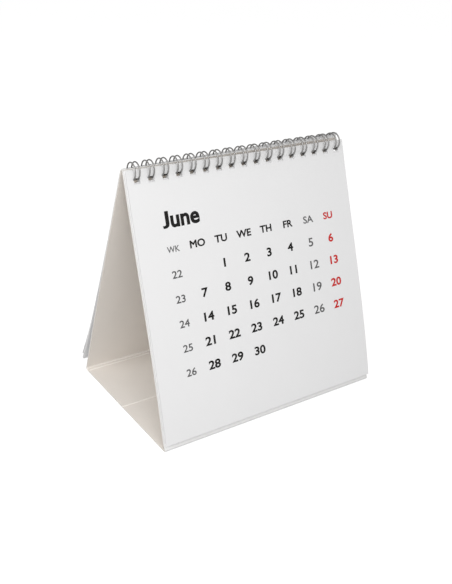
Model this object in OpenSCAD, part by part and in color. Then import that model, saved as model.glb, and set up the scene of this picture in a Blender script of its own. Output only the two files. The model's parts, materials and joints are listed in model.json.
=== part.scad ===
// Desk calendar: a folded card stand, square leaves in front of it and behind it,
// and one closed twin-loop wire that runs through all of them along the ridge.
// Millimetres. X runs along the ridge, the front faces -Y, and the base rests on Z = 0.

/* [Stand] */
// Width of the stand, along the ridge
stand_w = 147; // [146:0.5:150]
// Depth of the base, from the front fold to the back fold
base_d = 96; // [90:0.5:102]
// Height of the ridge, where the two panels end side by side
ridge_h = 143; // [138:1:150]
// Thickness of the card
card_t = 0.8; // [0.6:0.05:1]
// Gap between the two panels at the ridge
ridge_gap = 0.8; // [0.6:0.1:1.2]
// Outer radius of the front fold and the back fold
fold_r = 1.1; // [1.1:0.1:2]
// How far the front panel and the leaves on it bow outwards
front_bow = 1.5; // [0:0.1:2.5]
// How far the back panel and the leaves on it bow outwards
back_bow = 0.6; // [0:0.1:1.5]
// Radius of the bead that each score line raises inside the stand
bead_r = 0.5; // [0.2:0.05:0.6]
// Distance from the back fold to the second score line beside it
second_score = 3; // [2.5:0.1:5]
// How far the middle score lies behind the middle of the base, so that the halves fold flat
middle_score = 1; // [0.7:0.1:2]

/* [Leaves] */
// How much narrower a leaf is than the stand, at each side
leaf_inset = 0; // [0:0.25:1]
// Height of a leaf
leaf_h = 147; // [143:0.5:148]
// Thickness of the paper
leaf_t = 0.15; // [0.1:0.05:0.2]
// Leaves still to come, in the block under the front leaf
front_count = 6; // [3:1:7]
// Leaves turned earlier, in the block under the rear leaf
rear_count = 4; // [2:1:4]
// Air between one sheet or block and the next, in front of the stand
front_gap = 0.4; // [0.3:0.05:0.5]
// Air between the back panel and the rear block
rear_rest = 0.1; // [0.05:0.05:0.15]
// Air between the rear block and the rear leaf
rear_gap = 0.3; // [0.2:0.05:0.35]
// How far the bottom of the rear block curls away from the back panel
block_curl = 3.6; // [0:0.2:5]
// How far the bottom of the rear leaf curls away from the back panel
leaf_curl = 8; // [5:0.2:10]
// How far the front sheets sit to the right of the row of holes
front_shift = 0.5; // [0:0.1:1]
// How far the rear leaf sits to the right of the row of holes
rear_shift = 1; // [0:0.1:1.5]

/* [Binding] */
// Distance from one loop to the next
loop_pitch = 8.467; // [8:0.001:8.6]
// Least distance from the middle of the last loop to the side edge of the leaves
end_margin = 5; // [4:0.25:6]
// Diameter of the wire
wire_d = 0.9; // [0.7:0.05:1]
// Distance between the two strands of a loop
strand_gap = 2.6; // [2.4:0.05:2.8]
// Side of the square holes
hole_w = 4; // [3.9:0.05:4.4]
// Distance from the middle of a hole to the top edge of its sheet
hole_edge = 5.5; // [5:0.1:6]
// Room between the wire and the lower side of the holes in the front panel
front_play = 0.6; // [0.5:0.05:0.8]
// Room between the wire and the upper side of the holes in the back panel
back_play = 0.48; // [0.4:0.05:0.6]
// How far the wire passes above the middle of the holes in the front leaves
front_seat = 0.1; // [0:0.05:0.3]
// Room between the wire and the upper side of the holes in the rear leaves
hang_play = 0.15; // [0.1:0.05:0.3]
// Room inside the rings above the top edge of the outermost rear leaf
ring_play = 0.15; // [0.1:0.05:0.4]
// Room between the front panel's top corner and the front leaf as it turns over
turn_play = 0.2; // [0.1:0.05:0.4]
// Radius of the bend between a loop and the straight bar beside it
elbow_r = 0.8; // [0.7:0.05:0.9]
// Distance from the ring's lowest point to where a loop's closed end starts
tip_back = 1.07; // [1:0.01:1.15]
// Straight wire left beyond the last loop at each end
stub_l = 1.2; // [0.5:0.1:3]

/* [Hidden] */

card_colour = [0.93, 0.93, 0.92];
paper_colour = [0.97, 0.97, 0.96];
wire_colour = [0.62, 0.62, 0.62];

slope_steps = 24;     // straight pieces that follow a bowed sheet
fold_steps = 8;       // straight pieces that follow a fold
curl_power = 3.2;     // how much of a curl is near the bottom edge
wire_fn = 16;
ring_fn = 64;
punch_l = 12;         // long enough to pass through a sheet at any curl
slant_wire = 1.1;     // the wire crosses a hole at a slant, so it takes a little more room
seam_swell = 1.03;    // one bend runs into the next through a ball hardly wider than the wire

// The leaves are as wide as the stand, and hold as many loops as fit beside each other
leaf_w = stand_w - 2 * leaf_inset;
loop_count = 1 + floor((leaf_w - 2 * end_margin) / loop_pitch);

// Lean of both panels from the vertical, refined once for the slanted thickness of the card
lean_first = atan((base_d / 2 - ridge_gap / 2 - card_t) / ridge_h);
lean = atan((base_d / 2 - ridge_gap / 2 - card_t / cos(lean_first)) / ridge_h);
slope_l = ridge_h / cos(lean);
fold_reach = fold_r / tan((90 - lean) / 2);

// A point of the front or back slope in the YZ plane: s runs up the outer face from the
// corner of the base, and n is how far the point stands out from that face
function front_pt(s, n) = [-base_d / 2 + s * sin(lean) - n * cos(lean), s * cos(lean) + n * sin(lean)];
function back_pt(s, n) = [base_d / 2 - s * sin(lean) + n * cos(lean), s * cos(lean) + n * sin(lean)];

// A panel bows most at a third of its height and is straight again at the ridge
function up_slope(s) = min(1, max(0, s / slope_l));
function bow(s, depth) = depth * 27 / 4 * up_slope(s) * pow(1 - up_slope(s), 2);
function curl(s, depth) = depth * pow(1 - up_slope(s), curl_power);

function step(from, to, i, n) = from + (to - from) * i / n;
function arc(mid, r, from, to) =
    [for (i = [0:fold_steps]) mid + r * [cos(step(from, to, i, fold_steps)), sin(step(from, to, i, fold_steps))]];

// One face of a bowed sheet, from s = from to s = to
function front_face(from, to, n) =
    [for (i = [0:slope_steps]) let (s = step(from, to, i, slope_steps)) front_pt(s, n + bow(s, front_bow))];
function back_face(from, to, n, depth) =
    [for (i = [0:slope_steps]) let (s = step(from, to, i, slope_steps))
        back_pt(s, n + bow(s, back_bow) + curl(s, depth))];

// Where the wire passes through the panels, half way through the card
panel_hole_s = slope_l - hole_edge;
wire_room = wire_d / 2 * slant_wire;
front_cross = front_pt(panel_hole_s - hole_w / 2 + wire_room + front_play, -card_t / 2);
back_cross = back_pt(panel_hole_s + hole_w / 2 - wire_room - back_play, -card_t / 2);

// A ring of radius r is the circle through those two points
cross_gap = back_cross - front_cross;
half_gap = norm(cross_gap) / 2;
function ring_mid_of(r) = (front_cross + back_cross) / 2
    + sqrt(r * r - half_gap * half_gap) / (2 * half_gap) * [-cross_gap[1], cross_gap[0]];

// A point of the YZ plane as seen from each slope: how far up it is, and how far out
function on_front(p) =
    let (d = p - front_pt(0, 0)) [d * [sin(lean), cos(lean)], d * [-cos(lean), sin(lean)]];
function on_back(p) =
    let (d = p - back_pt(0, 0)) [d * [-sin(lean), cos(lean)], d * [cos(lean), sin(lean)]];

rear_block_n = rear_rest;
rear_leaf_n = rear_block_n + rear_count * leaf_t + rear_gap;

// The rings are just large enough for the strip above the holes of the outermost rear leaf,
// which lies inside them furthest from their middle
rear_strip = hole_edge - hole_w / 2 + hang_play + ring_play;
function rear_reach(r) = rear_leaf_n + leaf_t - on_back(ring_mid_of(r))[1];
function ring_needed(r) = wire_d / 2 + norm([rear_reach(r), rear_strip / 2]);
ring_r = ring_needed(ring_needed(ring_needed(hole_edge)));
ring_mid = ring_mid_of(ring_r);
front_mid = on_front(ring_mid);
back_mid = on_back(ring_mid);

// The front leaf lies far enough out to pass the ridge as it turns about the ring's middle
ridge_corner = [slope_l, -card_t];
front_block_n = front_gap;
front_leaf_n = max(front_block_n + front_count * leaf_t + front_gap,
    front_mid[1] + norm(ridge_corner - front_mid) + turn_play);

// Height along the slope at which a circle of radius r round the ring's middle crosses a
// face that stands out by n: the inside of the wire gives the top of its cut through a sheet
function crossing(mid, r, n) = mid[0] - sqrt(r * r - pow(n - mid[1], 2));

// The wire passes through the middle of the front sheets' holes, and the rear sheets hang
// from it by theirs
front_hole_s = crossing(front_mid, ring_r, front_leaf_n + leaf_t / 2) - front_seat;
function hung_hole_s(n) = crossing(back_mid, ring_r - wire_d / 2, n) + hang_play - hole_w / 2;
rear_block_hole_s = hung_hole_s(rear_block_n + rear_count * leaf_t);
rear_leaf_hole_s = hung_hole_s(rear_leaf_n + leaf_t);

// The wire's seam is at the bottom of the rings, inside the stand: each loop's closed end
// comes round to it from the front, and the bars between the loops meet it from behind
bar_angle = 270 + asin(strand_gap / 2 / ring_r);
tip_angle = 270 - asin(tip_back / ring_r);
bar_start = ring_mid + ring_r * [cos(bar_angle), sin(bar_angle)];
tip_start = ring_mid + ring_r * [cos(tip_angle), sin(tip_angle)];
bar_l = loop_pitch - strand_gap - 2 * elbow_r;

function loop_x(i) = (i - (loop_count - 1) / 2) * loop_pitch;

// Carries a section drawn in the YZ plane along X
module along_x(width, shift = 0)
    translate([shift, 0, 0])
    rotate([90, 0, 90])
    linear_extrude(height = width, center = true)
    children();

// The row of square holes, square to a sheet that leans by tilt
module punch_row(mid, tilt)
    for (i = [0:loop_count - 1])
        translate([loop_x(i), mid[0], mid[1]])
        rotate([tilt, 0, 0])
        cube([hole_w, punch_l, hole_w], center = true);

module stand_section() {
    front_fold = [-base_d / 2 + fold_reach, fold_r];
    back_fold = [base_d / 2 - fold_reach, fold_r];
    polygon(concat(
        front_face(slope_l, fold_reach, 0),
        arc(front_fold, fold_r, 180 - lean, 270),
        arc(back_fold, fold_r, 270, 360 + lean),
        back_face(fold_reach, slope_l, 0, 0),
        back_face(slope_l, fold_reach, -card_t, 0),
        arc(back_fold, fold_r - card_t, 360 + lean, 270),
        arc(front_fold, fold_r - card_t, 270, 180 - lean),
        front_face(fold_reach, slope_l, -card_t)
    ));
}

// Score lines: a groove under the card and a bead raised above it
module score_line(y) {
    along_x(stand_w) translate([y, card_t - bead_r / 2]) circle(r = bead_r, $fn = wire_fn);
}

module score_groove(y) {
    along_x(stand_w + 1) translate([y, -bead_r / 2]) circle(r = bead_r, $fn = wire_fn);
}

module stand() {
    score_y = [middle_score, base_d / 2 - fold_reach - second_score];
    color(card_colour)
    difference() {
        union() {
            along_x(stand_w) stand_section();
            for (y = score_y) score_line(y);
        }
        for (y = score_y) score_groove(y);
        punch_row(front_pt(panel_hole_s, 0), -lean);
        punch_row(back_pt(panel_hole_s, 0), lean);
    }
}

module ring_arc(x)
    translate([x, ring_mid[0], ring_mid[1]])
    rotate([90, 0, 90])
    rotate([0, 0, bar_angle])
    rotate_extrude(angle = tip_angle + 360 - bar_angle, $fn = ring_fn)
    translate([ring_r, 0])
    circle(d = wire_d, $fn = wire_fn);

module bend(r, from, span)
    rotate([0, 0, from])
    rotate_extrude(angle = span, $fn = ring_fn)
    translate([r, 0])
    circle(d = wire_d, $fn = wire_fn);

// Where one bend of the wire runs into the next
module seam(x)
    translate([x, 0, 0])
    sphere(d = wire_d * seam_swell, $fn = wire_fn);

// A straight length of wire along +X that starts at x
module bar(x, length)
    translate([x, elbow_r, 0])
    rotate([0, 90, 0])
    cylinder(h = length, d = wire_d, $fn = wire_fn);

module loop(i) {
    half = strand_gap / 2;
    ring_arc(loop_x(i) - half);
    ring_arc(loop_x(i) + half);
    translate([loop_x(i), tip_start[0], tip_start[1]])
        rotate([tip_angle + 90, 0, 0]) {
            bend(half, 0, 180);
            seam(half);
            seam(-half);
        }
    translate([loop_x(i), bar_start[0], bar_start[1]])
        rotate([bar_angle - 90, 0, 0]) {
            seam(half);
            seam(-half);
            translate([half + elbow_r, 0, 0]) bend(elbow_r, 90, 90);
            translate([-half - elbow_r, 0, 0]) bend(elbow_r, 0, 90);
            if (i < loop_count - 1) bar(half + elbow_r, bar_l);
            if (i == loop_count - 1) bar(half + elbow_r, stub_l);
            if (i == 0) bar(-half - elbow_r - stub_l, stub_l);
        }
}

module wire_binding() {
    color(wire_colour)
    for (i = [0:loop_count - 1]) loop(i);
}

// A sheet or block on the front slope, between n and n + t
module front_sheet(n, t) {
    bottom = front_hole_s + hole_edge - leaf_h;
    top = front_hole_s + hole_edge;
    difference() {
        along_x(leaf_w, front_shift)
            polygon(concat(front_face(bottom, top, n), front_face(top, bottom, n + t)));
        punch_row(front_pt(front_hole_s, n + t / 2), -lean);
    }
}

// A sheet or block on the back slope, which curls away from it towards the bottom
module rear_sheet(n, t, hole_s, depth, shift) {
    bottom = hole_s + hole_edge - leaf_h;
    top = hole_s + hole_edge;
    difference() {
        along_x(leaf_w, shift)
            polygon(concat(back_face(bottom, top, n, depth), back_face(top, bottom, n + t, depth)));
        punch_row(back_pt(hole_s, n + t / 2), lean);
    }
}

module front_pages() {
    color(paper_colour) front_sheet(front_block_n, front_count * leaf_t);
}

module front_leaf() {
    color(paper_colour) front_sheet(front_leaf_n, leaf_t);
}

module rear_pages() {
    color(paper_colour) rear_sheet(rear_block_n, rear_count * leaf_t, rear_block_hole_s, block_curl, 0);
}

module rear_leaf() {
    color(paper_colour) rear_sheet(rear_leaf_n, leaf_t, rear_leaf_hole_s, leaf_curl, rear_shift);
}

stand();
wire_binding();
front_pages();
front_leaf();
rear_pages();
rear_leaf();
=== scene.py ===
import json
from math import asin, atan, cos, degrees, pi, radians, sin, tan

import bmesh
import bpy
import numpy as np
from mathutils import Matrix, Vector


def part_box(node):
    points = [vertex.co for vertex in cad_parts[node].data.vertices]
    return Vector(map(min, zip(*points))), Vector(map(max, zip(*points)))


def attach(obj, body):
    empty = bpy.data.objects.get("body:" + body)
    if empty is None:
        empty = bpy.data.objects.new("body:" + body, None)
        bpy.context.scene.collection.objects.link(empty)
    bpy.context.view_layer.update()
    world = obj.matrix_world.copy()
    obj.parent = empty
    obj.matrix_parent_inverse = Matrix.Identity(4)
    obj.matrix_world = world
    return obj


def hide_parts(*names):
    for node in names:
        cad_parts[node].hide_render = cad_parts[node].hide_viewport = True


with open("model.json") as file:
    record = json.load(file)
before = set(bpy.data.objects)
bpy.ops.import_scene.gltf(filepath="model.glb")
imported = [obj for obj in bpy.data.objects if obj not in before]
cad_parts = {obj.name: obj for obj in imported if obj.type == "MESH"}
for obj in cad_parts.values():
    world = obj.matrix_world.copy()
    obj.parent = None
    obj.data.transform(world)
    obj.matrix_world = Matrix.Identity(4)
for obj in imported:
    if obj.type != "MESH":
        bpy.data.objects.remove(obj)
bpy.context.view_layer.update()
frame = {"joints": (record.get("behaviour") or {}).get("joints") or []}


# The photograph's view of the calendar
# It is seen from its front left and a little above, close enough for the rows to converge.
# The picture was cut from a wider one, so the lens axis lies up and left of the middle.

mm = 0.001
picture_long_side = 584
camera_place = Vector((-251.4, -336.8, 259.8)) * mm
camera_azimuth = radians(-33.10)
camera_elevation = radians(22.71)
camera_roll = radians(1.87)
lens_pixels = 777.1
axis_pixel = (187.4, 248.4)
middle_pixel = (226, 292)

camera = bpy.data.objects.new("camera", bpy.data.cameras.new("camera"))
bpy.context.scene.collection.objects.link(camera)
bpy.context.scene.camera = camera
camera.location = camera_place
camera.rotation_euler = (
    Matrix.Rotation(camera_azimuth, 4, "Z")
    @ Matrix.Rotation(pi / 2 - camera_elevation, 4, "X")
    @ Matrix.Rotation(camera_roll, 4, "Z")
).to_euler()
camera.data.sensor_width = 36
camera.data.lens = lens_pixels * camera.data.sensor_width / picture_long_side
camera.data.shift_x = (middle_pixel[0] - axis_pixel[0]) / picture_long_side
camera.data.shift_y = (axis_pixel[1] - middle_pixel[1]) / picture_long_side
camera.data.clip_start = 10 * mm


# The table top and the room
# A plain white surface that runs on into a white room. It shows as white to the camera and
# in reflections, and keeps the soft shadow under the stand.


def new_material(name):
    material = bpy.data.materials.new(name)
    material.use_nodes = True
    material.node_tree.nodes.clear()
    return material, material.node_tree


def put(tree, kind, settings=None, **sockets):
    """Adds a node. A socket's value is a number, a colour or another node's output."""
    node = tree.nodes.new(kind)
    for key, value in (settings or {}).items():
        setattr(node, key, value)
    for key, value in sockets.items():
        wire_up(tree, node.inputs[key.replace("_", " ")], value)
    return node


def wire_up(tree, socket, value):
    if isinstance(value, bpy.types.NodeSocket):
        tree.links.new(value, socket)
    else:
        socket.default_value = value


def maths(tree, operation, *values):
    node = tree.nodes.new("ShaderNodeMath")
    node.operation = operation
    for socket, value in zip(node.inputs, values):
        wire_up(tree, socket, value)
    return node.outputs[0]


def seen_directly(tree):
    """1 for what the camera, a reflection or a see-through surface shows, else 0."""
    path = tree.nodes.new("ShaderNodeLightPath").outputs
    mirrored = maths(tree, "MAXIMUM", path["Is Glossy Ray"], path["Is Transmission Ray"])
    return maths(tree, "MAXIMUM", path["Is Camera Ray"], mirrored)


table_half = 2.5
table_glow = 0.66
table_tones = (0.60, 0.62)
table_mesh = bpy.data.meshes.new("table_top")
table_mesh.from_pydata(
    [(x * table_half, y * table_half, 0) for x, y in ((-1, -1), (1, -1), (1, 1), (-1, 1))],
    [],
    [(0, 1, 2, 3)],
)
table = bpy.data.objects.new("table_top", table_mesh)
bpy.context.scene.collection.objects.link(table)

table_material, tree = new_material("white_table")
table_cloud = put(tree, "ShaderNodeTexNoise", Scale=9.0, Detail=3.0)
table_tone = put(
    tree, "ShaderNodeMapRange", Value=table_cloud.outputs["Fac"],
    To_Min=table_tones[0], To_Max=table_tones[1],
)
table_colour = put(tree, "ShaderNodeCombineColor")
for channel in ("Red", "Green", "Blue"):
    wire_up(tree, table_colour.inputs[channel], table_tone.outputs["Result"])
table_diffuse = put(tree, "ShaderNodeBsdfDiffuse", Color=table_colour.outputs["Color"])
table_light = put(tree, "ShaderNodeEmission", Strength=maths(tree, "MULTIPLY", seen_directly(tree), table_glow))
table_sum = put(tree, "ShaderNodeAddShader")
wire_up(tree, table_sum.inputs[0], table_diffuse.outputs[0])
wire_up(tree, table_sum.inputs[1], table_light.outputs[0])
put(tree, "ShaderNodeOutputMaterial", Surface=table_sum.outputs[0])
table_mesh.materials.append(table_material)

room_light = 0.55
world = bpy.data.worlds.new("white_room")
world.use_nodes = True
bpy.context.scene.world = world
tree = world.node_tree
tree.nodes.clear()
room_strength = put(
    tree, "ShaderNodeMapRange", Value=seen_directly(tree), To_Min=room_light, To_Max=1.0
)
room = put(tree, "ShaderNodeBackground", Strength=room_strength.outputs["Result"])
room.inputs["Color"].default_value = (1, 1, 1, 1)
put(tree, "ShaderNodeOutputWorld", Surface=room.outputs[0])


def soft_lamp(name, place, size, power, colour):
    lamp = bpy.data.objects.new(name, bpy.data.lights.new(name, "AREA"))
    lamp.data.shape = "SQUARE"
    lamp.data.size = size
    lamp.data.energy = power
    lamp.data.color = colour
    lamp.location = place
    aim = Vector((0, 0, 0.07)) - Vector(place)
    lamp.rotation_euler = aim.to_track_quat("-Z", "Y").to_euler()
    bpy.context.scene.collection.objects.link(lamp)
    return lamp


soft_lamp("window_lamp", (-0.24, -0.43, 0.43), 0.3, 1.3, (1.0, 0.995, 0.99))
soft_lamp("fill_lamp", (-0.9, 0.0, 0.35), 0.6, 4.4, (1.0, 0.985, 0.965))

bpy.context.scene.view_settings.view_transform = "Standard"


# The card stand
# One sheet of white board, creased and folded into a front panel, a base and a back panel,
# and punched along both edges. The wire holds them loosely, so that they gape at the right.

base_depth = 96 * mm
board_width = 147 * mm
ridge_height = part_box("stand")[1].z
card = 0.8 * mm
card_seen = 0.65 * mm
ridge_gap = 0.8 * mm
front_bow = 1.5 * mm
back_bow = 0.6 * mm
lean_first = atan((base_depth / 2 - ridge_gap / 2 - card) / ridge_height)
lean = atan((base_depth / 2 - ridge_gap / 2 - card / cos(lean_first)) / ridge_height)
slope = ridge_height / cos(lean)
shut_left = 0.4 * mm
back_gape = 0.5 * mm
front_gape = 0.5 * mm
fold_round = 1.1 * mm
fold_reach = fold_round / tan((pi / 2 - lean) / 2)
toe = 1.2 * mm
toe_fade = 2 * mm
score_places = (-0.5 * mm, base_depth / 2 - fold_reach - 1.7 * mm)
score_bead = 0.42 * mm
score_rise = 0.28 * mm
fold_bead = 0.5 * mm
back_rise = 0.4 * mm
front_fall = 0.9 * mm
loops = 17
loop_pitch = 8.467 * mm
hole_side = 4 * mm
hole_edge = 5.5 * mm


def board_bow(s, depth):
    """How far a panel stands out at the height s: most at a third of it."""
    u = np.clip(s / slope, 0, 1)
    return depth * 27 / 4 * u * (1 - u) ** 2


def gape(side, x, s):
    """How far a panel leans in Y from where it would stand if the ridge were even."""
    right = np.clip(x / board_width + 0.5, 0, 1)
    top = back_gape * right - shut_left * (1 - right) if side > 0 else -front_gape * right
    return top * np.clip(s / slope, 0, 1)


def toe_out(s):
    """How far the front panel's foot stands out at the height s, below the leaves."""
    return toe * np.exp(-np.clip(s - fold_reach, 0, None) / toe_fade)


def slope_point(side, s, n):
    """Y and Z of a point s up a panel's outer face and n out from it. The side is -1 in front."""
    y = side * (base_depth / 2 - s * sin(lean) + n * cos(lean))
    return y, s * cos(lean) + n * sin(lean)


def new_tree(name, sockets):
    """A geometry tree with named inputs, each a (name, kind, value)."""
    tree = bpy.data.node_groups.new(name, "GeometryNodeTree")
    tree.interface.new_socket("Geometry", in_out="INPUT", socket_type="NodeSocketGeometry")
    tree.interface.new_socket("Geometry", in_out="OUTPUT", socket_type="NodeSocketGeometry")
    for label, kind, value in sockets:
        socket = tree.interface.new_socket(label, in_out="INPUT", socket_type="NodeSocket" + kind)
        if value is not None:
            socket.default_value = value
    return tree


def as_mesh(holder):
    """What the modifiers or the curve of an object give, as a plain mesh."""
    bpy.context.view_layer.update()
    result = holder.evaluated_get(bpy.context.evaluated_depsgraph_get())
    return bpy.data.meshes.new_from_object(result)


def add_piece(name, mesh):
    mesh.name = name
    piece = bpy.data.objects.new(name, mesh)
    bpy.context.scene.collection.objects.link(piece)
    return piece


def grow(name, base, tree, values):
    """Runs a geometry tree on base with these input values and keeps the result as a mesh."""
    holder = add_piece(name, base)
    modifier = holder.modifiers.new("grow", "NODES")
    modifier.node_group = tree
    for item in tree.interface.items_tree:
        if item.in_out == "INPUT" and item.name in values:
            modifier[item.identifier] = values[item.name]
    mesh = as_mesh(holder)
    bpy.data.objects.remove(holder)
    return add_piece(name, mesh)


def punched_tree():
    """Flat sheets in X and Y, each with its row of holes near the top, stacked in Z."""
    tree = new_tree(
        "punched_sheets",
        (
            ("Width", "Float", 0.1), ("Height", "Float", 0.1), ("Holes", "Int", 17),
            ("Hole Pitch", "Float", 0.008), ("Hole Width", "Float", 0.004),
            ("Hole Height", "Float", 0.004), ("Hole Edge", "Float", 0.005),
            ("Rows", "Int", 24), ("Sheets", "Int", 1), ("Spacing", "Float", 0.0002),
            ("Slip", "Float", 0.0003), ("Seed", "Int", 1), ("Finish", "Material", None),
        ),
    )
    entry = put(tree, "NodeGroupInput").outputs
    last_column = maths(tree, "MULTIPLY_ADD", entry["Holes"], 2.0, 1.0)
    last_row = maths(tree, "ADD", entry["Rows"], 2.0)
    grid = put(
        tree, "GeometryNodeMeshGrid", Size_X=last_column, Size_Y=last_row,
        Vertices_X=maths(tree, "ADD", last_column, 1.0), Vertices_Y=maths(tree, "ADD", last_row, 1.0),
    )
    where = put(tree, "ShaderNodeSeparateXYZ", Vector=put(tree, "GeometryNodeInputPosition").outputs[0])
    column = maths(tree, "MULTIPLY_ADD", last_column, 0.5, where.outputs["X"])
    row = maths(tree, "MULTIPLY_ADD", last_row, 0.5, where.outputs["Y"])

    hole_column = maths(tree, "COMPARE", maths(tree, "FLOORED_MODULO", column, 2.0), 1.5, 0.1)
    hole_row = maths(tree, "COMPARE", maths(tree, "SUBTRACT", row, entry["Rows"]), 0.5, 0.1)
    punched = put(
        tree, "GeometryNodeDeleteGeometry", {"domain": "FACE"}, Geometry=grid.outputs["Mesh"],
        Selection=maths(tree, "MULTIPLY", hole_column, hole_row),
    )

    half_width = maths(tree, "MULTIPLY", entry["Width"], 0.5)
    past_first = maths(tree, "SUBTRACT", column, 1.0)
    hole = maths(tree, "FLOOR", maths(tree, "MULTIPLY_ADD", past_first, 0.5, 0.01))
    hole_end = maths(tree, "FLOORED_MODULO", past_first, 2.0)
    middle_hole = maths(tree, "MULTIPLY_ADD", entry["Holes"], 0.5, -0.5)
    hole_x = maths(tree, "MULTIPLY", maths(tree, "SUBTRACT", hole, middle_hole), entry["Hole Pitch"])
    side_x = maths(tree, "MULTIPLY", maths(tree, "SUBTRACT", hole_end, 0.5), entry["Hole Width"])
    at_left = maths(tree, "LESS_THAN", column, 0.5)
    at_right = maths(tree, "GREATER_THAN", column, maths(tree, "SUBTRACT", last_column, 0.5))
    edge = maths(tree, "MULTIPLY", maths(tree, "SUBTRACT", at_right, at_left), entry["Width"])
    x = maths(tree, "ADD", maths(tree, "ADD", hole_x, side_x), edge)
    x = maths(tree, "MAXIMUM", maths(tree, "MINIMUM", x, half_width), maths(tree, "MULTIPLY", half_width, -1.0))

    hole_middle = maths(tree, "SUBTRACT", entry["Height"], entry["Hole Edge"])
    hole_low = maths(tree, "MULTIPLY_ADD", entry["Hole Height"], -0.5, hole_middle)
    hole_high = maths(tree, "MULTIPLY_ADD", entry["Hole Height"], 0.5, hole_middle)
    below = maths(tree, "MULTIPLY", maths(tree, "DIVIDE", row, entry["Rows"]), hole_low)
    over_low = maths(tree, "GREATER_THAN", row, maths(tree, "ADD", entry["Rows"], 0.5))
    over_high = maths(tree, "GREATER_THAN", row, maths(tree, "ADD", entry["Rows"], 1.5))
    lift_low = maths(tree, "MULTIPLY", over_low, maths(tree, "SUBTRACT", hole_high, below))
    lift_high = maths(tree, "MULTIPLY", over_high, maths(tree, "SUBTRACT", entry["Height"], hole_high))
    y = maths(tree, "ADD", maths(tree, "ADD", below, lift_low), lift_high)
    spread = put(
        tree, "GeometryNodeSetPosition", Geometry=punched.outputs["Geometry"],
        Position=put(tree, "ShaderNodeCombineXYZ", X=x, Y=y).outputs[0],
    )

    pile = put(
        tree, "GeometryNodeMeshLine", Count=entry["Sheets"],
        Offset=put(tree, "ShaderNodeCombineXYZ", Z=entry["Spacing"]).outputs[0],
    )
    slip = put(tree, "FunctionNodeRandomValue", {"data_type": "FLOAT_VECTOR"}, Seed=entry["Seed"])
    slip.inputs["Min"].default_value = (-1, -1, 0)
    slip.inputs["Max"].default_value = (1, 1, 0)
    slipped = put(tree, "ShaderNodeVectorMath", {"operation": "SCALE"}, Scale=entry["Slip"])
    wire_up(tree, slipped.inputs[0], slip.outputs["Value"])
    knocked = put(
        tree, "GeometryNodeSetPosition", Geometry=pile.outputs["Mesh"], Offset=slipped.outputs[0]
    )
    stack = put(
        tree, "GeometryNodeInstanceOnPoints", Points=knocked.outputs["Geometry"],
        Instance=spread.outputs["Geometry"],
    )
    solid = put(tree, "GeometryNodeRealizeInstances", Geometry=stack.outputs["Instances"])
    dressed = put(
        tree, "GeometryNodeSetMaterial", Geometry=solid.outputs["Geometry"], Material=entry["Finish"]
    )
    put(tree, "NodeGroupOutput", Geometry=dressed.outputs["Geometry"])
    return tree


sheet_tree = punched_tree()


def thicken(piece, thickness, offset):
    """Gives a sheet its thickness, with crisp cut edges."""
    solid = piece.modifiers.new("thickness", "SOLIDIFY")
    solid.thickness = thickness
    solid.offset = offset
    solid.use_even_offset = True
    mesh = as_mesh(piece)
    piece.modifiers.clear()
    piece.data = mesh
    mesh.shade_smooth()
    mesh.set_sharp_from_angle(angle=radians(35))


def coordinates(mesh):
    return np.array([v.co for v in mesh.vertices])


def place_corners(mesh, corners):
    mesh.vertices.foreach_set("co", np.asarray(corners, dtype=np.float32).ravel())
    mesh.update()


def fibre_group():
    """The look of paper and board: a faint cloud of tone and a fine tooth of fibres."""
    group = bpy.data.node_groups.new("paper_fibre", "ShaderNodeTree")
    for name, value in (
        ("Colour", None), ("Cloud", 0.02), ("Cloud Size", 12 * mm), ("Tooth Size", 0.25 * mm),
    ):
        kind = "NodeSocketColor" if value is None else "NodeSocketFloat"
        socket = group.interface.new_socket(name, in_out="INPUT", socket_type=kind)
        if value is not None:
            socket.default_value = value
    group.interface.new_socket("Colour", in_out="OUTPUT", socket_type="NodeSocketColor")
    group.interface.new_socket("Rough", in_out="OUTPUT", socket_type="NodeSocketFloat")
    group.interface.new_socket("Height", in_out="OUTPUT", socket_type="NodeSocketFloat")
    entry = put(group, "NodeGroupInput").outputs
    place = put(group, "ShaderNodeTexCoord").outputs["Object"]
    cloud = put(
        group, "ShaderNodeTexNoise", Vector=place, Detail=3.0,
        Scale=maths(group, "DIVIDE", 1.0, entry["Cloud Size"]),
    )
    tooth = put(
        group, "ShaderNodeTexNoise", Vector=place, Detail=4.0, Distortion=0.6,
        Scale=maths(group, "DIVIDE", 1.0, entry["Tooth Size"]),
    )
    swing = maths(group, "SUBTRACT", cloud.outputs["Fac"], 0.5)
    speck = maths(group, "MULTIPLY", maths(group, "SUBTRACT", tooth.outputs["Fac"], 0.5), 0.35)
    tone = maths(group, "MULTIPLY_ADD", maths(group, "ADD", swing, speck), entry["Cloud"], 1.0)
    toned = put(group, "ShaderNodeVectorMath", {"operation": "SCALE"}, Scale=tone)
    wire_up(group, toned.inputs[0], entry["Colour"])
    rough = put(group, "ShaderNodeMapRange", Value=tooth.outputs["Fac"], To_Min=0.42, To_Max=0.58)
    leave = put(group, "NodeGroupOutput").inputs
    wire_up(group, leave["Colour"], toned.outputs[0])
    wire_up(group, leave["Rough"], rough.outputs["Result"])
    wire_up(group, leave["Height"], tooth.outputs["Fac"])
    return group


paper_fibre = fibre_group()


def add_fibre(tree, colour, cloud, cloud_size, tooth_size):
    fibre = put(tree, "ShaderNodeGroup", {"node_tree": paper_fibre})
    wire_up(tree, fibre.inputs["Colour"], colour)
    wire_up(tree, fibre.inputs["Cloud"], cloud)
    wire_up(tree, fibre.inputs["Cloud Size"], cloud_size)
    wire_up(tree, fibre.inputs["Tooth Size"], tooth_size)
    return fibre.outputs


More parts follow.
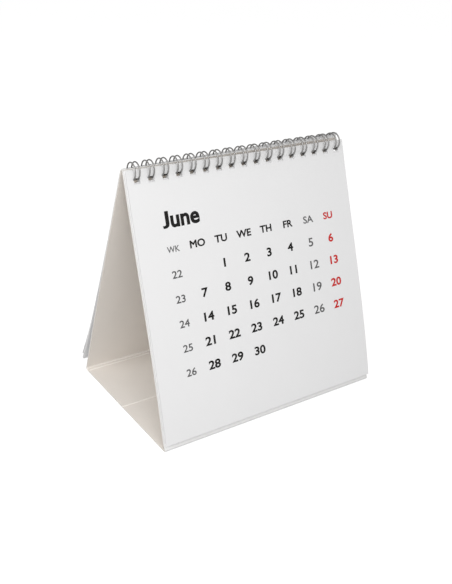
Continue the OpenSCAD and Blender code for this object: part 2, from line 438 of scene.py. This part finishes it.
def paper_shader(tree, fibre, depth, specular):
    bump = put(tree, "ShaderNodeBump", Height=fibre["Height"], Distance=depth, Strength=0.6)
    skin = put(
        tree, "ShaderNodeBsdfPrincipled", Base_Color=fibre["Colour"],
        Roughness=fibre["Rough"], Normal=bump.outputs["Normal"],
    )
    skin.inputs["Specular IOR Level"].default_value = specular
    put(tree, "ShaderNodeOutputMaterial", Surface=skin.outputs[0])
    return skin


coated_white = (0.87, 0.87, 0.865, 1)
plain_side = (0.83, 0.79, 0.745, 1)
card_core = (0.60, 0.585, 0.56, 1)
# The tone painted along the creases on the base is a painted highlight for the light they catch.
crease_highlight_tone = (0.96, 0.925, 0.885, 1)
crease_half = 0.35 * mm
tunnel_middle = Vector((0, 0, 0.35 * ridge_height))
board_material, tree = new_material("white_board")
place = put(tree, "ShaderNodeTexCoord").outputs
outward = put(tree, "ShaderNodeVectorMath", {"operation": "SUBTRACT"})
wire_up(tree, outward.inputs[0], place["Object"])
wire_up(tree, outward.inputs[1], tunnel_middle)
across = put(tree, "ShaderNodeVectorMath", {"operation": "MULTIPLY"})
wire_up(tree, across.inputs[0], outward.outputs[0])
wire_up(tree, across.inputs[1], (0, 1, 1))
facing = put(tree, "ShaderNodeVectorMath", {"operation": "DOT_PRODUCT"})
wire_up(tree, facing.inputs[0], across.outputs[0])
wire_up(tree, facing.inputs[1], place["Normal"])
outside = put(
    tree, "ShaderNodeMapRange", Value=facing.outputs["Value"],
    From_Min=-4 * mm, From_Max=4 * mm,
)
board_colour = put(tree, "ShaderNodeMix", {"data_type": "RGBA"})
wire_up(tree, board_colour.inputs["Factor"], outside.outputs["Result"])
wire_up(tree, board_colour.inputs[6], plain_side)
wire_up(tree, board_colour.inputs[7], coated_white)
edge_on = put(tree, "ShaderNodeSeparateXYZ", Vector=place["Normal"]).outputs["X"]
cut_edge = put(tree, "ShaderNodeMix", {"data_type": "RGBA"})
wire_up(tree, cut_edge.inputs["Factor"], maths(tree, "ABSOLUTE", edge_on))
wire_up(tree, cut_edge.inputs[6], board_colour.outputs[2])
wire_up(tree, cut_edge.inputs[7], card_core)
where = put(tree, "ShaderNodeSeparateXYZ", Vector=place["Object"]).outputs
# Painted highlight: the base is lightened along its two scores and the back fold, where the creases catch the
# light.
creased = 0.0
for crease_y in (*score_places, base_depth / 2 - fold_reach):
    near = put(
        tree, "ShaderNodeMapRange", From_Min=crease_half, From_Max=2 * crease_half,
        To_Min=1.0, To_Max=0.0,
        Value=maths(tree, "ABSOLUTE", maths(tree, "SUBTRACT", where["Y"], crease_y)),
    )
    creased = maths(tree, "MAXIMUM", creased, near.outputs["Result"])
on_base = maths(tree, "LESS_THAN", where["Z"], 2 * fold_round)
painted_crease_highlight = put(tree, "ShaderNodeMix", {"data_type": "RGBA"})
wire_up(tree, painted_crease_highlight.inputs["Factor"], maths(tree, "MULTIPLY", creased, on_base))
wire_up(tree, painted_crease_highlight.inputs[6], cut_edge.outputs[2])
wire_up(tree, painted_crease_highlight.inputs[7], crease_highlight_tone)
board_fibre = add_fibre(tree, painted_crease_highlight.outputs[2], 0.05, 14 * mm, 0.35 * mm)
paper_shader(tree, board_fibre, 0.03 * mm, 0.35)


def board_rows(side):
    """Y, Z and height up the panel of each row, from the middle of the base to the ridge."""
    near_fold = base_depth / 2 - fold_reach + (toe if side < 0 else 0)
    flat = [(y, 0.0, 0.0) for y in np.linspace(0, near_fold, 12)]
    fold = []
    for turn in np.linspace(-pi / 2, lean, 9)[1:-1]:
        fold.append((near_fold + fold_round * cos(turn), fold_round + fold_round * sin(turn), 0.0))
    hole_middle = slope - hole_edge
    foot = [fold_reach + step * mm for step in (0, 0.6, 1.2, 2, 3, 4.5, 7)]
    heights = foot + list(np.linspace(12 * mm, hole_middle - hole_side / 2, 24))
    heights += [hole_middle + hole_side / 2, slope]
    panel = []
    for s in heights:
        depth = front_bow if side < 0 else back_bow
        out, z = slope_point(1, s, board_bow(s, depth))
        panel.append((out + (toe_out(s) if side < 0 else 0), z, s))
    return np.array(flat + fold + panel)


def board_half(side):
    """Half of the card from the middle of its base to the ridge, as a surface facing outwards."""
    rows = board_rows(side)
    half = grow(
        "board_half", bpy.data.meshes.new("blank"), sheet_tree,
        {
            "Width": board_width, "Height": slope + base_depth / 2, "Holes": loops,
            "Hole Pitch": loop_pitch, "Hole Width": hole_side, "Hole Height": hole_side,
            "Hole Edge": hole_edge, "Rows": len(rows) - 3, "Sheets": 1, "Slip": 0.0,
            "Finish": board_material,
        },
    )
    flat = coordinates(half.data)
    levels = np.unique(np.round(flat[:, 1], 6))
    row = rows[np.searchsorted(levels, flat[:, 1] - 0.001 * mm)]
    right = np.clip(flat[:, 0] / board_width + 0.5, 0, 1)
    top_edge = row[:, 2] > slope - 0.001 * mm
    rise = np.where(top_edge, right * (back_rise if side > 0 else -front_fall), 0)
    y = side * (row[:, 0] - rise * sin(lean)) + gape(side, flat[:, 0], row[:, 2])
    place_corners(half.data, np.column_stack([flat[:, 0], y, row[:, 1] + rise * cos(lean)]))
    if side > 0:
        half.data.flip_normals()
    return half


def bead(shape, y, z, radius):
    """The round bead inside a fold, from one end of the card to the other."""
    made = bmesh.ops.create_cone(
        shape, cap_ends=True, segments=12, radius1=radius, radius2=radius, depth=board_width
    )
    turn = Matrix.Translation((0, y, z)) @ Matrix.Rotation(pi / 2, 4, "Y")
    bmesh.ops.transform(shape, matrix=turn, verts=made["verts"])


halves = [board_half(-1), board_half(1)]
shape = bmesh.new()
for half in halves:
    shape.from_mesh(half.data)
    bpy.data.objects.remove(half)
bmesh.ops.remove_doubles(shape, verts=shape.verts, dist=0.001 * mm)
board_mesh = bpy.data.meshes.new("folded_card")
board_mesh.materials.append(board_material)
shape.to_mesh(board_mesh)
shape.free()
board = add_piece("folded_card", board_mesh)
thicken(board, card_seen, -1)
shape = bmesh.new()
shape.from_mesh(board.data)
bead(shape, fold_reach - base_depth / 2 - toe, fold_round, fold_bead)
bead(shape, base_depth / 2 - fold_reach, fold_round, fold_bead)
for score_y in score_places:
    bead(shape, score_y, card_seen - score_bead + score_rise, score_bead)
shape.to_mesh(board.data)
shape.free()
board.data.set_sharp_from_angle(angle=radians(35))
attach(board, "frame")
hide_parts("stand")


# The wire binding
# One steel wire with a grey nylon coat, bent into seventeen twin loops and squeezed shut
# round the punched edges. Its seam lies inside the stand, where the loops' ends meet the bars.

wire_width = 0.8 * mm
strand_gap = 2.6 * mm
ring_middle = Vector(frame["joints"][0]["pos_m"]).yz
ring_left = (ring_middle.x - 0.6 * mm, ring_middle.y + 0.75 * mm, 4.3 * mm)
ring_right = (ring_middle.x - 0.04 * mm, ring_middle.y + 0.18 * mm, 4.95 * mm)
bulge = 0.62 * mm
bulge_angle = 335
bulge_width = 24
front_drop = 0.45 * mm
drop_angle = 235
drop_width = 35
elbow = 0.8 * mm
seam_back = 1.07 * mm
end_stub = 1.2 * mm
ring_steps = 56
bend_steps = 8


def ring_size(x):
    """Middle and radius of the ring at x. The rings are a little tighter at the left end."""
    right = x / board_width + 0.5
    return [low + (high - low) * right for low, high in zip(ring_left, ring_right)]


def ring_point(x, angle):
    """Y and Z on the ring, which bulges at the back where it goes round the hanging leaves."""
    y, z, radius = ring_size(x)
    off = (angle - bulge_angle + 180) % 360 - 180
    radius += bulge * np.exp(-((off / bulge_width) ** 2))
    off = (angle - drop_angle + 180) % 360 - 180
    radius += front_drop * (0.5 - x / board_width) * np.exp(-((off / drop_width) ** 2))
    return y + radius * cos(radians(angle)), z + radius * sin(radians(angle))


def ring_run(x, place, start, end):
    angles = np.linspace(start, end, ring_steps + 1)
    return [(x + place, *ring_point(x, angle)) for angle in angles]


def seam_bend(x, angle, heading, middle, radius, start, end):
    """A bend that lies flat against the ring at angle. Heading is along the ring, out of it."""
    y, z = ring_point(x, angle)
    points = []
    for turn in np.linspace(radians(start), radians(end), bend_steps + 1)[1:-1]:
        out = radius * sin(turn)
        points.append((x + middle + radius * cos(turn), y + heading[0] * out, z + heading[1] * out))
    return points


def loop_path(x):
    """One twin loop: in from the bar, round, back at its closed end, round again and out."""
    half = strand_gap / 2
    radius = ring_size(x)[2]
    bar_angle = 270 + degrees(asin(half / radius))
    tip_angle = 630 - degrees(asin(seam_back / radius))
    bar_heading = (sin(radians(bar_angle)), -cos(radians(bar_angle)))
    tip_heading = (-sin(radians(tip_angle)), cos(radians(tip_angle)))
    y, z = ring_point(x, bar_angle)
    bar = (y + bar_heading[0] * elbow, z + bar_heading[1] * elbow)
    points = [(x - half - elbow, *bar)]
    points += seam_bend(x, bar_angle, bar_heading, -half - elbow, elbow, 90, 0)
    points += ring_run(x, -half, bar_angle, tip_angle)
    points += seam_bend(x, tip_angle, tip_heading, 0, half, 180, 0)
    points += ring_run(x, half, tip_angle, bar_angle)
    points += seam_bend(x, bar_angle, bar_heading, half + elbow, elbow, 180, 90)
    points.append((x + half + elbow, *bar))
    return points


def wire_path():
    points = []
    for number in range(loops):
        points += loop_path((number - (loops - 1) / 2) * loop_pitch)
    first, last = points[0], points[-1]
    return [(first[0] - end_stub, *first[1:])] + points + [(last[0] + end_stub, *last[1:])]


def sweep_tree():
    """Carries a round section along the wire's path."""
    tree = new_tree(
        "wire_sweep",
        (("Wire Width", "Float", 0.001), ("Sides", "Int", 12), ("Finish", "Material", None)),
    )
    entry = put(tree, "NodeGroupInput").outputs
    section = put(
        tree, "GeometryNodeCurvePrimitiveCircle", Resolution=entry["Sides"],
        Radius=maths(tree, "MULTIPLY", entry["Wire Width"], 0.5),
    )
    tube = put(
        tree, "GeometryNodeCurveToMesh", Curve=entry["Geometry"],
        Profile_Curve=section.outputs["Curve"], Fill_Caps=True,
    )
    smooth = put(tree, "GeometryNodeSetShadeSmooth", Geometry=tube.outputs["Mesh"])
    solid = put(tree, "GeometryNodeRealizeInstances", Geometry=smooth.outputs["Geometry"])
    dressed = put(
        tree, "GeometryNodeSetMaterial", Geometry=solid.outputs["Geometry"], Material=entry["Finish"]
    )
    put(tree, "NodeGroupOutput", Geometry=dressed.outputs["Geometry"])
    return tree


# The coat's tone is darkened towards the wire's edges, where they turn from the camera: painted shade for its
# dark outline. The noise adds drawing marks that vary the tone at random.
nylon_light = (0.29, 0.285, 0.28, 1)
painted_edge_shade_tone = (0.045, 0.044, 0.042, 1)
mark_depth = 0.3
wire_material, tree = new_material("coated_wire")
place = put(tree, "ShaderNodeTexCoord").outputs["Object"]
draw_marks = put(tree, "ShaderNodeTexNoise", Vector=place, Scale=2600.0, Detail=3.0)
painted_edge_shade = put(tree, "ShaderNodeLayerWeight", Blend=0.45).outputs["Facing"]
mark_swing = maths(tree, "SUBTRACT", draw_marks.outputs["Fac"], 0.5)
edge_shade_and_marks = maths(tree, "MULTIPLY_ADD", mark_swing, mark_depth, painted_edge_shade)
wire_tone = put(tree, "ShaderNodeMix", {"data_type": "RGBA"})
wire_up(tree, wire_tone.inputs["Factor"], edge_shade_and_marks)
wire_up(tree, wire_tone.inputs[6], nylon_light)
wire_up(tree, wire_tone.inputs[7], painted_edge_shade_tone)
wire_rough = put(
    tree, "ShaderNodeMapRange", Value=draw_marks.outputs["Fac"], To_Min=0.28, To_Max=0.42
)
wire_bump = put(
    tree, "ShaderNodeBump", Height=draw_marks.outputs["Fac"], Distance=0.02 * mm, Strength=0.5
)
wire_skin = put(
    tree, "ShaderNodeBsdfPrincipled", Base_Color=wire_tone.outputs[2], Metallic=0.75,
    Roughness=wire_rough.outputs["Result"], Normal=wire_bump.outputs["Normal"],
)
put(tree, "ShaderNodeOutputMaterial", Surface=wire_skin.outputs[0])

path_curve = bpy.data.curves.new("wire_path", "CURVE")
path_curve.dimensions = "3D"
path_points = wire_path()
spline = path_curve.splines.new("POLY")
spline.points.add(len(path_points) - 1)
for point, place in zip(spline.points, path_points):
    point.co = (*place, 1)
wire = grow(
    "twin_loop_wire", path_curve, sweep_tree(),
    {"Wire Width": wire_width, "Finish": wire_material},
)
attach(wire, "frame")
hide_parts("wire_binding")


# The leaves
# Thin square leaves, punched along the top and threaded on the wire. Those still to come
# stand in front of the panel, and those turned over hang fanned out behind it.

leaf_w = 147 * mm
leaf_h = 147 * mm
paper = 0.15 * mm
paper_seen = 0.13 * mm
leaf_rows = 36
paper_white = (0.885, 0.885, 0.89, 1)
leaf_material, tree = new_material("leaf_paper")
leaf_fibre = add_fibre(tree, paper_white, 0.02, 22 * mm, 0.2 * mm)
paper_shader(tree, leaf_fibre, 0.012 * mm, 0.3)


def sheet_top(node, side, thickness):
    """How far up and how far out the top edge of a node's inner face lies."""
    low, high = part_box(node)
    across = base_depth / 2 - side * (high.y if side < 0 else low.y)
    z = high.z - thickness * sin(lean)
    return across * sin(lean) + z * cos(lean), z * sin(lean) - across * cos(lean)


def hung_sheets(name, side, height, top_s, n, sheets, slip, seed, hole, shift, lift, trim):
    """Sheets on a panel. lift(x, s, place in the stack) is how far they stand off it. The hole
    is its width, height and distance below the top edge, which trim(x) lowers."""
    piece = grow(
        name, bpy.data.meshes.new("blank"), sheet_tree,
        {
            "Width": leaf_w, "Height": height, "Holes": loops, "Hole Pitch": loop_pitch,
            "Hole Width": hole[0], "Hole Height": hole[1], "Hole Edge": hole[2],
            "Rows": leaf_rows, "Sheets": sheets, "Spacing": paper, "Slip": slip,
            "Seed": seed, "Finish": leaf_material,
        },
    )
    flat = coordinates(piece.data)
    x, s = flat[:, 0] + shift, flat[:, 1] + top_s - height
    near_top = flat[:, 1] > height - hole[2] + hole[1] / 2 + slip + 0.1 * mm
    s = s - np.where(near_top, trim(x), 0)
    bow = board_bow(s, front_bow if side < 0 else back_bow)
    y, z = slope_point(side, s, n + flat[:, 2] + bow + lift(x, s, flat[:, 2]))
    place_corners(piece.data, np.column_stack([x, y, z]))
    thicken(piece, paper_seen, 0)
    return piece


def no_trim(x):
    return 0 * x


front_count = 6
front_shift = 0.5 * mm
front_hole = (3.6 * mm, 3.0 * mm, 5.6 * mm)
next_hole = (3.4 * mm, 2.3 * mm, 5.15 * mm)
next_fall = 0.5 * mm
front_h = leaf_h - 0.6 * mm
front_spread = 0.25
spread_left = 0.4
toe_share = 0.65


def follow_front(x, s, place):
    """The next leaves follow the front panel, and spread a little at their free corner."""
    low = 1 - np.clip(s / slope, 0, 1)
    right = np.clip(x / leaf_w + 0.5, 0, 1)
    spread = front_spread * place * low ** 2 * (spread_left + right)
    return spread - gape(-1, x, s) * cos(lean) + toe_share * toe_out(s)


def falling_trim(x):
    return next_fall * np.clip(x / leaf_w + 0.5, 0, 1)


pages_top, pages_n = sheet_top("front_pages", -1, front_count * paper)
front_pages = hung_sheets(
    "next_leaves", -1, front_h, pages_top, pages_n + paper / 2, front_count, 0.12 * mm, 3,
    next_hole, front_shift, follow_front, falling_trim,
)
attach(front_pages, "frame")
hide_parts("front_pages")


def smooth_leaf(x, s, place):
    return 0 * s


month_top, month_n = sheet_top("front_leaf", -1, paper)
front_leaf = hung_sheets(
    "month_leaf", -1, front_h, month_top, month_n + paper / 2, 1, 0.0, 1,
    front_hole, front_shift, smooth_leaf, no_trim,
)
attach(front_leaf, "front_leaf")
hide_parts("front_leaf")

rear_count = 4
rear_hole = (hole_side, hole_side, hole_edge)
block_curl = 6.2 * mm
leaf_curl = 8.8 * mm
curl_power = 3.2
fan_share = 0.14
rear_shift = 1 * mm
trim_left = 1.95 * mm
trim_right = -0.7 * mm


def curled(s, depth):
    return depth * (1 - np.clip(s / slope, 0, 1)) ** curl_power


def fanned(x, s, place):
    """The turned leaves follow the back panel at the top and fan out at the bottom."""
    share = place / ((rear_count - 1) * paper)
    return curled(s, block_curl * (1 - fan_share * (1 - share))) + gape(1, x, s) * cos(lean)


def rear_curl(x, s, place):
    return curled(s, leaf_curl) + gape(1, x, s) * cos(lean)


def slanted_trim(x):
    return trim_left + (trim_right - trim_left) * (x / leaf_w + 0.5)


turned_top, turned_n = sheet_top("rear_pages", 1, rear_count * paper)
rear_pages = hung_sheets(
    "turned_leaves", 1, leaf_h, turned_top, turned_n + paper / 2, rear_count, 0.2 * mm, 8,
    rear_hole, 0, fanned, slanted_trim,
)
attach(rear_pages, "frame")
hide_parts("rear_pages")

last_top, last_n = sheet_top("rear_leaf", 1, paper)
rear_leaf = hung_sheets(
    "last_turned_leaf", 1, leaf_h, last_top, last_n + paper / 2, 1, 0.0, 1,
    rear_hole, rear_shift, rear_curl, slanted_trim,
)
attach(rear_leaf, "rear_leaf")
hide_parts("rear_leaf")


# The print on the month leaf
# Offset ink on the paper: a bold month name, a row of weekday names and the day numbers
# in black, with the Saturdays and week numbers in grey and the Sundays in red.

ink_lift = 0.02 * mm
ink_half = 0.02 * mm
font_cap = 0.69
font_tail = 0.23
column_pitch = 15.42 * mm
monday_x = -37.0 * mm
week_x = -52.1 * mm
heading_down = 32.5 * mm
header_down = 45.3 * mm
first_row_down = 59.2 * mm
row_pitch = 13.37 * mm
month_start = 1
month_days = 30
first_week = 22


def ink(name, colour):
    material, tree = new_material(name)
    fibre = add_fibre(tree, colour, 0.25, 3 * mm, 0.12 * mm)
    paper_shader(tree, fibre, 0.004 * mm, 0.15)
    return material


black_ink = ink("black_ink", (0.008, 0.0075, 0.007, 1))
grey_ink = ink("grey_ink", (0.11, 0.11, 0.112, 1))
red_ink = ink("red_ink", (0.62, 0.028, 0.025, 1))


def letters(words, cap, stretch, weight):
    """A thin mesh of words, centred, on the baseline. The letters stand cap high, and a J,
    which reaches below the line in this font, is drawn up to stand on it."""
    size = cap / (font_cap + 2 * weight)
    curve = bpy.data.curves.new("letters", "FONT")
    curve.body = words
    curve.size = 1
    curve.align_x = "CENTER"
    curve.resolution_u = 4
    curve.bevel_depth = weight
    curve.bevel_resolution = 0
    holder = add_piece("letters", curve)
    mesh = as_mesh(holder)
    bpy.data.objects.remove(holder)
    if words == "J":
        drawn_up = Matrix.Diagonal((1, font_cap / (font_cap + font_tail), 1, 1))
        mesh.transform(drawn_up @ Matrix.Translation((0, font_tail, 0)))
    sized = Matrix.Diagonal((size * stretch, size, ink_half / weight, 1))
    mesh.transform(sized @ Matrix.Translation((0, weight, 0)))
    return mesh


def print_on_leaf(name, lines, material):
    """lines holds (words, x, baseline's distance down the leaf, cap height, stretch, weight)."""
    corners, faces = [], []
    for words, x, down, cap, stretch, weight in lines:
        mesh = letters(words, cap, stretch, weight)
        start = len(corners)
        for vertex in mesh.vertices:
            s = month_top - down + vertex.co.y
            n = month_n + paper + board_bow(s, front_bow) + ink_lift + vertex.co.z
            y, z = slope_point(-1, s, n)
            corners.append((x + vertex.co.x, y, z))
        for face in mesh.polygons:
            faces.append([start + i for i in face.vertices])
        bpy.data.meshes.remove(mesh)
    whole = bpy.data.meshes.new(name)
    whole.from_pydata(corners, [], faces)
    whole.materials.append(material)
    piece = add_piece(name, whole)
    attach(piece, "front_leaf")
    return piece


day_cap = 5.0 * mm
head_cap = 4.2 * mm
week_cap = 4.1 * mm
bold = 0.032
regular = 0.016
wide = 1.17
heading_cap = 9.4 * mm
heading_bold = 0.034
header_wide = 1.12
black, grey, red = [], [], []
black.append(("J", -53.2 * mm, heading_down, heading_cap, 1.1, heading_bold))
black.append(("une", -42.4 * mm, heading_down, heading_cap, 1.0, heading_bold))
grey.append(("WK", week_x, header_down, 3.3 * mm, 0.95, 0.012))
for number, day_name in enumerate(("MO", "TU", "WE", "TH", "FR", "SA", "SU")):
    row = (day_name, monday_x + number * column_pitch, header_down, head_cap, header_wide)
    if number < 5:
        black.append((*row, bold))
    elif number == 5:
        grey.append((*row, regular))
    else:
        red.append((*row, bold))
for day in range(1, month_days + 1):
    week, number = divmod(day - 1 + month_start, 7)
    down = first_row_down + week * row_pitch
    row = (str(day), monday_x + number * column_pitch, down, day_cap, wide)
    if number < 5:
        black.append((*row, bold))
    elif number == 5:
        grey.append((*row, regular))
    else:
        red.append((*row, bold))
for week in range(5):
    down = first_row_down + week * row_pitch
    grey.append((str(first_week + week), week_x, down, week_cap, header_wide, regular))
print_on_leaf("black_print", black, black_ink)
print_on_leaf("grey_print", grey, grey_ink)
print_on_leaf("red_print", red, red_ink)
